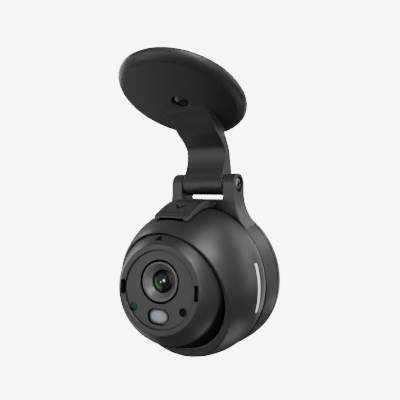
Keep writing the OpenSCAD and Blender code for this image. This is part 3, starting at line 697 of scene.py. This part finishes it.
def bracket():
    """Disc with its curved neck and knuckle barrel, the adhesive pad and the disc's screw."""
    r, t = DISC_R, DISC_T
    seat = DISC_R - 2
    shoulder = [(DISC_FLAT_R, -t)] + curve([
        (DISC_FLAT_R + 0.2, -t + 0.12), (DISC_FLAT_R + 1.2, -t + 0.55), (DISC_FLAT_R + 2.1, -t + 1.15),
        (DISC_FLAT_R + 2.7, -t + 1.85), (r, -t + 2.6)], 5)
    prof = [(0, -t)] + shoulder + rounded([(r, -PAD_T - 0.9), (r, -PAD_T, 0.5), (seat, -PAD_T)])[1:]
    prof += [(seat, -PAD_T - PLATE_T), (0, -PAD_T - PLATE_T)]
    body = lathe("mount_bracket_body", prof, DISC, 180)
    front = curve([(-13.4, 68.9), (-11.6, 67.75), (-9.9, 66.45), (-8.2, 64.9), (-6.5, 62.7), (-4.4, 59.9),
                   (-2.3, 57.6), (0.5, 55.4), (2.6, 53.4), (3.7, 51.4), (4.0, 49.2), (3.8, 46.8),
                   (3.1, 44.4), (2.0, 42.0), (1.2, 39.6)], 4)
    rear = curve([(9.2, 39.6), (9.1, 42.8), (8.7, 45.6), (8.2, 48.2), (7.8, 50.4), (6.9, 52.9),
                  (5.8, 55.0), (4.4, 57.2), (3.2, 59.6), (2.6, 62.0), (2.0, 64.0)], 4)
    across = MOVE((-NECK_X, 0, 0)) @ turn(90, "Z") @ turn(90, "X")
    neck = prism("neck", front + rear, 0, 2 * NECK_X, across)
    merge(body, neck, rod("knuckle", KNUCKLE_R, -KNUCKLE_X, KNUCKLE_X, HINGE, 96))
    top = rod("seat", seat, -PAD_T - PLATE_T, 4, DISC, 180)
    hole = rod("hole", DISC_HOLE_R, -t - 1, -t + DISC_HOLE_T, DISC, 96)
    through = rod("through", BOLT_R + 0.1, -t, 0, DISC, 48)
    bore = rod("bore", BOLT_R + 0.06, -12, 12, HINGE, 64)
    cut(body, top, hole, through, bore)
    soften(body, 0.24, 5)
    piece(body, "bracket", M_BRACKET, ["mount_bracket"])

    pad_r = DISC_R - 0.8
    prof = rounded([(0, -PAD_T), (pad_r, -PAD_T, 0.1), (pad_r, 0, 0.2), (0, 0)])
    pad = lathe("adhesive_pad_foam", prof, DISC, 160)
    piece(pad, "bracket", M_PAD, ["adhesive_pad"], sharp=40)

    facing_down = DISC @ MOVE((0, 0, -t + DISC_HOLE_T)) @ turn(180, "X")
    head = pan_head("disc_screw_head", 2.7, 1.1, facing_down, BOLT_R, 2.2)
    piece(head, "bracket", M_SCREW, ["disc_screw"], sharp=32)


# ---------------------------------------------------------------- yoke

ARCH_SIDE = [(23.1, 16.2), (21.8, 18.2), (19.6, 21.2), (17.75, 24.1), (16.4, 27.0), (15.5, 29.6),
             (15.0, 32.4), (EAR_X, 35.4), (EAR_X, HINGE_Z + EAR_R + 1)]


def at_post(angle, radius, y):
    """A place on a post's line: the angle is round the ball's axis, y along it."""
    return MOVE((0, 0, BALL_Z)) @ turn(angle, "Y") @ MOVE((radius, y, 0))


def yoke():
    """Band round the ball, two arms with ears, crossbar and posts, and the hinge bolt."""
    half = curve(ARCH_SIDE, 4)
    outline = half + [Vector((-p[0], p[1])) for p in reversed(half)]
    arch = prism("yoke_body", outline, 0, BAND_Y, MOVE((0, BAND_Y, 0)) @ ABOUT_Y)
    rear = [(BAND_Y, 10), (BAND_Y, 19.4, 1.0)]
    rear += [(12.4, 21.2), (11.2, 22.9), (10.1, 25.0), (9.4, 27.8), (HINGE_Y + EAR_R, 31.0)]
    ear = [(HINGE_Y + EAR_R * math.cos(a), HINGE_Z + EAR_R * math.sin(a))
           for a in [math.pi * k / 32 for k in range(33)]]
    front = [(HINGE_Y - EAR_R, 30.0, 6), (BAND_FRONT, 26.0, 6), (BAND_FRONT, 10)]
    side = rounded(rear + ear + front, 8)
    across = MOVE((-40, 0, 0)) @ turn(90, "Z") @ turn(90, "X")
    keep(arch, prism("side", side, 0, 80, across))
    cut(arch, rod("inner", BAND_IN_R + 0.5, -BAND_Y - 1, 1, AXIS, 180))
    slot = block("slot", -SLOT_X, SLOT_X, -1, 19, BAR_Z, BAR_Z + 30)
    pocket = block("pocket", -SLOT_X, SLOT_X, 5.2, 15, 28.95, 38.95)
    bore = rod("bore", BOLT_R + 0.05, -16, 16, HINGE)
    bolt_seat = rod("bolt_seat", 3.0, EAR_X - 1.5, 17, HINGE, 72)
    nut_seat = prism("nut_seat", circle(3.23, 6), -17, -EAR_X + 2.2, HINGE)
    socket = block("socket", -SOCKET_X, SOCKET_X, -1, 5.4, SOCKET_Z0, SOCKET_Z1)
    cut(arch, slot, pocket, bore, bolt_seat, nut_seat, socket)
    soften(arch, 0.22, 5)

    flange_front, flange_back = -0.5, -1.7
    prof = [(FLANGE_IN_R, flange_front), (BAND_IN_R, flange_front), (BAND_IN_R, -BAND_FRONT)]
    prof += [(28.15, -BAND_FRONT, 0.25), (28.45, -0.8), (28.62, -2.5), (28.72, -4.5), (28.8, -8)]
    # the groove round the band's back
    prof += [(28.78, -9.85), (28.35, -9.9), (28.35, -10.3), (28.7, -10.4)]
    prof += [(28.6, -12.4), (28.4, -BAND_Y, 0.25), (BAND_IN_R, -BAND_Y)]
    prof += [(BAND_IN_R, flange_back), (FLANGE_IN_R, flange_back)]
    band = lathe("band", rounded(prof, 4), AXIS, 200)
    posts = []
    for a in POST_ANGLES:
        spoke = at_post(a, POST_RING, 17.8) @ ABOUT_Y
        tube = rod("post", POST_R, 0, 17.3, spoke, 40)
        cut(tube, rod("pilot", 0.82, -1, 7, spoke, 24))
        posts.append(tube)
        posts.append(block("web", POST_RING, POST_RING + 2 * POST_R, 0.5, 1.7, -POST_R, POST_R,
                           at_post(a, 0, 0)))
    body = joined("yoke_frame_body", [arch, band] + posts)
    piece(body, "camera_head", M_BODY, ["yoke_frame"], sharp=38)

    seated = HINGE @ MOVE((0, 0, EAR_X - 1.45))
    head = pan_head("hinge_bolt_head", 2.75, 1.35, seated, BOLT_R, 2 * EAR_X - 2.4)
    piece(head, "camera_head", M_SCREW, ["hinge_bolt"], sharp=32)


# ---------------------------------------------------------------- front shell


def shell_r(y):
    """Radius of the front shell at a distance y from the seam."""
    return BALL_R * math.sqrt(1 - ((y - BALL_MID_Y) / BALL_FRONT) ** 2)


def front_shell():
    """Front half of the ball with its leaning round opening, card slot and hinge lugs."""
    run = SHELL_DEPTH - SEAM_GAP
    outside = [(shell_r(-d), d) for d in (SEAM_GAP + run * k / 60 for k in range(61))]
    inside = [(15, SHELL_DEPTH), (15, 14), (21.6, 11.2), (26.6, 9.85), (26.6, 4.4), (FLANGE_IN_R, 4.4)]
    shell = lathe("front_shell_body", [(FLANGE_IN_R, SEAM_GAP)] + outside + inside, SHELL_AXIS, 240)
    cut(shell, block("beyond", -40, 40, -30, 0, -50, 50, FRONT))
    opening = MOVE((0.3, 0, 0)) @ FRONT @ MOVE((0, 10, -1.2)) @ ABOUT_Y
    cut(shell, rod("opening", LIP_R, 0, 30, opening, 200))
    cut(shell, ball("eye_room", EYE_R + 0.35, MOVE((0, EYE_Y, BALL_Z)), 160))
    low = CARD_Z - SLOT_HALF_H
    slot = block("card_slot", -SLOT_HALF_W, SLOT_HALF_W, -20, -6, low, CARD_Z + SLOT_HALF_H)
    dip = block("dip", -SLOT_HALF_W, SLOT_HALF_W, -19.5, -14.5, low, CARD_Z + 3.05)
    room = block("room", -SOCKET_X, SOCKET_X, -12.4, 1.6, SOCKET_Z0, SOCKET_Z1)
    cut(shell, slot, dip, room)
    for x0, x1 in ((-LUG_X1, -LUG_X0), (LUG_X0, LUG_X1)):
        lug = block("lug", x0, x1, PIN_Y - LUG_R, PIN_Y + LUG_R, 27.6, PIN_Z)
        merge(shell, lug, rod("lug_eye", LUG_R, x0, x1, PIN, 32))
    soften(shell, 0.2, 4)
    piece(shell, "camera_head", M_SHELL, ["front_shell"])


# ---------------------------------------------------------------- rear cap


def rear_cap():
    """Back half of the ball with the power port, sound slots and its three screws."""
    b, slot_pitch = BACK_Y, 2.2
    outer = curve([(0, -b), (9, -b + 0.15), (16, -b + 0.8), (20.5, -b + 2.0), (24.0, -b + 4.0),
                   (26.4, -b + 6.6), (27.8, -b + 9.0), (28.15, -BAND_Y - 0.3)], 6)
    inner = [(28.0, -BAND_Y - 0.12), (24.2, -BAND_Y - 0.12), (24.2, -BAND_Y + 1.2), (23.0, -BAND_Y + 1.2),
             (23.0, -b + 5.6), (19.0, -b + 3.2), (13, -b + 2.1), (0, -b + 1.8)]
    cap = lathe("rear_cap_body", outer + inner, AXIS, 200)
    cut(cap, slab("port", 8.9, 3.8, 1.6, -30, -18, MOVE((0, 0, BALL_Z - 10.4)) @ ABOUT_Y))
    for i in range(-2, 3):
        at = MOVE((i * slot_pitch, 0, BALL_Z + 10.5)) @ ABOUT_Y
        cut(cap, slab("sound_slot", 0.9, 8, 0.4, -30, -17, at))
    for a in POST_ANGLES:
        at = at_post(a, POST_RING, b + 1) @ ABOUT_Y
        merge(cap, rod("boss", POST_R, 4, b + 1 - 17.83, at, 40))
        cut(cap, rod("pilot", 0.85, 0, 12, at, 32), rod("head_seat", 1.8, -1, 4.8, at, 40))
    soften(cap, 0.25, 5)
    piece(cap, "camera_head", M_BODY, ["rear_cap"])
    heads = []
    for a in POST_ANGLES:
        at = at_post(a, POST_RING, b - 3.8) @ turn(-90, "X")
        heads.append(pan_head("cap_screw", 1.6, 1.0, at, 0.8, 7))
    piece(joined("cap_screw_set", heads), "camera_head", M_SCREW, ["cap_screws"], sharp=32)


# ---------------------------------------------------------------- flap


def flap():
    """Cover over the memory card, hinged at its back edge."""
    tip_y, low_z = -19.6, 20
    top = curve([(PIN_Y, PIN_Z + FLAP_BARREL_R), (-5.0, 31.8), (-9.0, 31.4), (-12.0, 30.5), (-14.6, 29.25),
                 (-17.0, 27.9), (-18.9, 26.8), (tip_y, 26.2)], 6)
    outline = top + [Vector((tip_y, low_z)), Vector((PIN_Y, low_z))]
    across = MOVE((-FLAP_X, 0, 0)) @ turn(90, "Z") @ turn(90, "X")
    lid = prism("access_flap_body", outline, 0, 2 * FLAP_X, across)
    merge(lid, rod("barrel", FLAP_BARREL_R, -FLAP_X, FLAP_X, PIN, 48))
    under = [(shell_r(-SHELL_DEPTH * k / 40) + 0.3, SHELL_DEPTH * k / 40) for k in range(41)]
    cut(lid, lathe("under", [(0, 0.01)] + under + [(0, SHELL_DEPTH)], SHELL_AXIS, 240))
    cut(lid, block("behind", -20, 20, PIN_Y, PIN_Y + 5, 0, PIN_Z - FLAP_BARREL_R),
        block("hollow", -SLOT_HALF_W, SLOT_HALF_W, -17.6, -8.2, low_z, 27.6))
    for a, b in ((-LUG_X1, -LUG_X0), (LUG_X0, LUG_X1)):
        x0, x1 = a - LUG_GAP, b + LUG_GAP
        cut(lid, rod("lug_slot", LUG_R + LUG_GAP, x0, x1, PIN, 40),
            block("lug_way", x0, x1, PIN_Y - LUG_R - LUG_GAP, PIN_Y + 3, low_z, PIN_Z))
    cut(lid, rod("pin_bore", PIN_R + 0.06, -8.5, 8.5, PIN, 32),
        slab("groove", 10.8, 1.0, 0.4, 18.9, 20.6, MOVE((0, 0, 25.1)) @ ABOUT_Y))
    soften(lid, 0.13, 5)
    piece(lid, "access_flap", M_FLAP, ["access_flap"])


# ---------------------------------------------------------------- eyeball


def grips(z0, z1):
    """The two upright slots at the plate's sides."""
    return [slab("grip", GRIP_W, GRIP_H, GRIP_CORNER, z0, z1, EYE @ MOVE((s * (PLATE_R + 0.75), 0, 0)))
            for s in (-1, 1)]


def eyeball():
    """Turning eyeball with its face plate, lens, lamp window and light sensor window."""
    through = (PLATE_D - 4, PLATE_D + 4)
    a0 = math.asin(EYE_BACK_D / EYE_R)
    a1 = math.asin(RIM_D / EYE_R)
    arc = [(EYE_R * math.cos(a0 + (a1 - a0) * k / 60), EYE_R * math.sin(a0 + (a1 - a0) * k / 60))
           for k in range(61)]
    plate_back = PLATE_D - 1.4
    fall = [(RIM_R - 0.22, RIM_D - 0.02), (PLATE_R + 0.2, RIM_D - 0.02), (PLATE_R, RIM_D - 0.2)]
    fall += [(PLATE_R, plate_back), (12.3, plate_back), (12.3, 11), (16.2, 11), (19.28, 7), (20.8, 0)]
    fall += [(19.28, -7.6), (19.28, EYE_BACK_D)]
    shell = lathe("eyeball_body", arc[:-1] + [(RIM_R + 0.02, RIM_D - 0.12)] + fall, EYE, 240)
    for s, grip in zip((-1, 1), grips(RIM_D - 2.4, RIM_D + 2)):
        cut(shell, grip)
        cut(shell, rod("dimple", 2.0, s * (EYE_R - 0.5), s * (EYE_R + 2), EYE @ turn(90, "Y"), 48))
    cut(shell, rod("window_room", 1.6, 6, 18, SENSOR_HOLE, 40), rod("mic_room", 2.1, 6, 18, MIC_HOLE, 40))
    piece(shell, "eyeball", M_EYE, ["eyeball_shell"], sharp=30)

    plate = prism("face_plate_body", circle(PLATE_R - 0.1, 200), plate_back, PLATE_D, EYE)
    cut(plate, rod("recess", RECESS_R, *through, LENS, 160),
        rod("light_hole", 1.55, *through, SENSOR_HOLE, 56),
        rod("mic_hole", 1.45, *through, MIC_HOLE, 56),
        slab("lamp_hole", 8.4, 5.8, 2.85, *through, LAMP), *grips(*through))
    piece(plate, "eyeball", M_PLATE, ["face_plate"], sharp=30, bevel=0.13)

    d = PLATE_D
    prof = rounded([(3.3, 6.4), (6.0, 6.4), (6.0, d - NOSE_DEPTH),
                    (BARREL_R, d - NOSE_DEPTH), (BARREL_R, d, 0.22),
                    (MOUTH_R + 0.25, d, 0.06), (MOUTH_R + 0.2, d - 0.22, 0.06), (MOUTH_R, d - 0.24, 0.05),
                    (GLASS_R + 0.25, d - MOUTH_DEPTH + 0.15, 0.12),
                    (GLASS_R, d - MOUTH_DEPTH - 0.1, 0.05),
                    (GLASS_R, d - NOSE_DEPTH + 0.2), (3.3, d - NOSE_DEPTH + 0.2)], 4)
    tube = lathe("lens_barrel_body", prof, LENS, 160)
    piece(tube, "eyeball", M_BARREL, ["lens_barrel"], sharp=28)

    glass_r = GLASS_R - 0.05
    angles = [math.asin(glass_r / DOME_R) * k / 16 for k in range(16, -1, -1)]
    dome = [(min(DOME_R * math.sin(a), glass_r), -6.4 + DOME_R * math.cos(a)) for a in angles]
    dome[-1] = (0, dome[-1][1])
    seat = LENS @ MOVE((0, 0, d - NOSE_DEPTH + 0.3))
    front = lathe("front_glass_dome", [(0, 0), (glass_r, 0)] + dome, seat, 120)
    piece(front, "eyeball", M_GLASS, ["front_glass"], sharp=30)

    flange, window = (8.2, 5.6, 2.5), (7.0, 4.5, 2.15)
    rings = [(*flange, d - 2.3), (*flange, d - 1.5), (*window, d - 1.5), (*window, d - 0.6)]
    rings += [(6.96, 4.46, 2.13, d - 0.5), (6.86, 4.36, 2.08, d - 0.43), (6.7, 4.2, 2.0, d - 0.4)]
    base = stack("illuminator_cover", rings, LAMP)
    piece(base, "eyeball", M_DIFFUSER, ["illuminator_window"], sharp=50)

    dot = lathe("light_window", rounded([(0, -1.7), (1.5, -1.7), (1.5, -0.3, 0.2), (0, -0.22)]),
                SENSOR_HOLE @ MOVE((0, 0, d)), 56)
    piece(dot, "eyeball", M_GREEN, ["light_sensor_window"], sharp=30)


# ---------------------------------------------------------------- CAD nodes that stay

KEPT = {
    "top_plate": M_PLATE_STEEL,
    "hinge_nut": M_STEEL, "friction_washers": M_STEEL, "shell_screws": M_STEEL, "retainer_screws": M_STEEL,
    "board_screws": M_STEEL, "sensor_screws": M_STEEL, "cover_screws": M_STEEL, "flap_pin": M_STEEL,
    "card_socket": M_STEEL, "usb_socket": M_STEEL,
    "retainer_ring": M_BLACK, "speaker": M_BLACK, "lens_holder": M_BLACK, "eye_rear_cover": M_BLACK,
    "main_board": M_BOARD, "sensor_board": M_BOARD, "image_sensor": M_CHIP, "light_sensor": M_CHIP,
    "seam_gasket": M_RUBBER, "backup_battery": M_WRAP, "heat_spreader": M_SPREAD, "memory_card": M_CARD,
    "pivot_pads": M_ACETAL, "inner_lenses": M_INNER_GLASS, "illuminator_led": M_LED, "microphone": M_MIC,
}


def dress_kept_nodes():
    """Material and fine edges for the CAD parts that no mesh replaces."""
    for name, mat in KEPT.items():
        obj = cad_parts[name]
        if not obj.material_slots:
            obj.data.materials.append(mat)
        for s in obj.material_slots:
            s.material = mat
        mod = obj.modifiers.new("edges", "BEVEL")
        mod.width = 0.08 * MM
        mod.segments = 2
        mod.limit_method = "ANGLE"
        mod.angle_limit = math.radians(40)


bracket()
yoke()
front_shell()
rear_cap()
flap()
eyeball()
dress_kept_nodes()

# ---------------------------------------------------------------- stage, light, camera


def emitter(name, tone, strength):
    mat = bpy.data.materials.new(name)
    mat.use_nodes = True
    tree = mat.node_tree
    tree.nodes.clear()
    out = tree.nodes.new("ShaderNodeOutputMaterial")
    emit = tree.nodes.new("ShaderNodeEmission")
    emit.inputs["Color"].default_value = (*tone, 1.0)
    emit.inputs["Strength"].default_value = strength
    tree.links.new(emit.outputs[0], out.inputs[0])
    return mat


# brightness of the backdrop as the camera sees it; it lights nothing
PAPER_GLOW = 8.0


def sweep():
    """A pale round floor, far below, that curves up into a backdrop on every side."""
    floor, radius, bend, top, paper_t = -0.40, 1.5, 0.5, 2.2, 0.02
    prof = [(0, floor), (radius - bend, floor)]
    prof += [(radius - bend + bend * math.sin(a), floor + bend - bend * math.cos(a))
             for a in [math.radians(9 * k) for k in range(1, 11)]]
    outer, below = radius + paper_t, floor - paper_t
    prof += [(radius, top), (outer, top), (outer, below), (0, below)]
    obj = lathe("paper_sweep", prof, n=96)
    for poly in obj.data.polygons:
        poly.use_smooth = True
    obj.data.materials.append(emitter("white_paper", (1.0, 1.0, 1.0), PAPER_GLOW))
    obj.visible_diffuse = False
    obj.visible_glossy = False
    obj.visible_transmission = False
    obj.visible_shadow = False


def softbox(name, where, size, power, aim):
    light = bpy.data.lights.new(name, "AREA")
    light.shape = "RECTANGLE"
    light.size, light.size_y = size
    light.energy = power
    obj = bpy.data.objects.new(name, light)
    bpy.context.scene.collection.objects.link(obj)
    obj.location = where
    obj.rotation_euler = (Vector(aim) - Vector(where)).to_track_quat("-Z", "Y").to_euler()
    return obj


# the photograph's view: angles in radians, place in millimetres round the ball
CAMERA_AZ, CAMERA_PITCH, CAMERA_ROLL = 0.5885, 0.0331, -0.0066
CAMERA_AT = (97.27, -146.18, 37.42)
SENSOR_WIDTH, FOCAL_OVER_WIDTH = 36.0, 1.1


def camera():
    """Camera at the photograph's viewing angle."""
    data = bpy.data.cameras.new("camera")
    obj = bpy.data.objects.new("camera", data)
    bpy.context.scene.collection.objects.link(obj)
    data.sensor_width = SENSOR_WIDTH
    data.sensor_fit = "HORIZONTAL"
    data.lens = FOCAL_OVER_WIDTH * SENSOR_WIDTH
    data.clip_start = 0.01
    data.clip_end = 20
    ca, sa = math.cos(CAMERA_AZ), math.sin(CAMERA_AZ)
    cp, sp = math.cos(CAMERA_PITCH), math.sin(CAMERA_PITCH)
    look = Vector((-sa * cp, ca * cp, -sp))
    right = Vector((ca, sa, 0))
    up = right.cross(look)
    cr, sr = math.cos(CAMERA_ROLL), math.sin(CAMERA_ROLL)
    right, up = cr * right + sr * up, -sr * right + cr * up
    m = Matrix((right, up, -look)).transposed().to_4x4()
    m.translation = TO_FRAME @ Vector(CAMERA_AT)
    obj.matrix_world = m
    bpy.context.scene.camera = obj


def lights():
    """Soft boxes placed by metres to the right of the camera's line, away from it and up."""
    centre = in_frame(BALL, (0, 0, 20))
    right = Vector((math.cos(CAMERA_AZ), math.sin(CAMERA_AZ), 0))
    away = Vector((-math.sin(CAMERA_AZ), math.cos(CAMERA_AZ), 0))
    up = Vector((0, 0, 1))

    def box(name, r, a, u, size, power):
        return softbox(name, centre + right * r + away * a + up * u, size, power, centre)

    box("overhead", 0.17, -0.06, 0.60, (0.26, 0.26), 0.7)
    box("top_right_back", 0.50, 0.20, 0.33, (0.34, 0.34), 0.65)
    box("right_side", 0.62, 0.02, 0.10, (0.25, 0.5), 0.9)
    box("left_back_rim", -0.52, 0.40, 0.12, (0.12, 0.5), 1.3)
    box("right_back_rim", 0.50, 0.55, -0.05, (0.06, 0.7), 0.7)
    box("top_front", 0.15, -0.41, 0.47, (0.30, 0.30), 2.9)
    box("left_front", -0.56, -0.30, 0.06, (0.62, 0.34), 1.15)
    box("edge_strip", 0.30, -0.58, 0.04, (0.05, 0.5), 0.7)
    box("front_fill", 0.05, -0.60, 0.16, (0.5, 0.5), 6.0).visible_glossy = False
    box("low_back", -0.46, 0.42, -0.50, (0.4, 0.4), 0.42)
    box("low_left", -0.52, -0.16, -0.24, (0.2, 0.2), 0.4)
    box("low_right", 0.32, 0.10, -0.55, (0.3, 0.3), 0.4)
    box("lens_glint", 0.06, -0.60, 0.14, (0.02, 0.02), 0.2)


def surroundings():
    """Dim warm white from all round, a little brighter from above."""
    world = bpy.data.worlds.new("studio")
    bpy.context.scene.world = world
    world.use_nodes = True
    tree = world.node_tree
    coords = tree.nodes.new("ShaderNodeTexCoord")
    split = tree.nodes.new("ShaderNodeSeparateXYZ")
    rise = tree.nodes.new("ShaderNodeMapRange")
    rise.inputs["From Min"].default_value = -0.6
    rise.inputs["From Max"].default_value = 0.8
    rise.inputs["To Min"].default_value = 0.10
    rise.inputs["To Max"].default_value = 0.34
    backdrop = tree.nodes["Background"]
    backdrop.inputs["Color"].default_value = (1.0, 0.985, 0.96, 1.0)
    tree.links.new(coords.outputs["Generated"], split.inputs[0])
    tree.links.new(split.outputs["Z"], rise.inputs["Value"])
    tree.links.new(rise.outputs["Result"], backdrop.inputs["Strength"])


camera()
sweep()
lights()
surroundings()
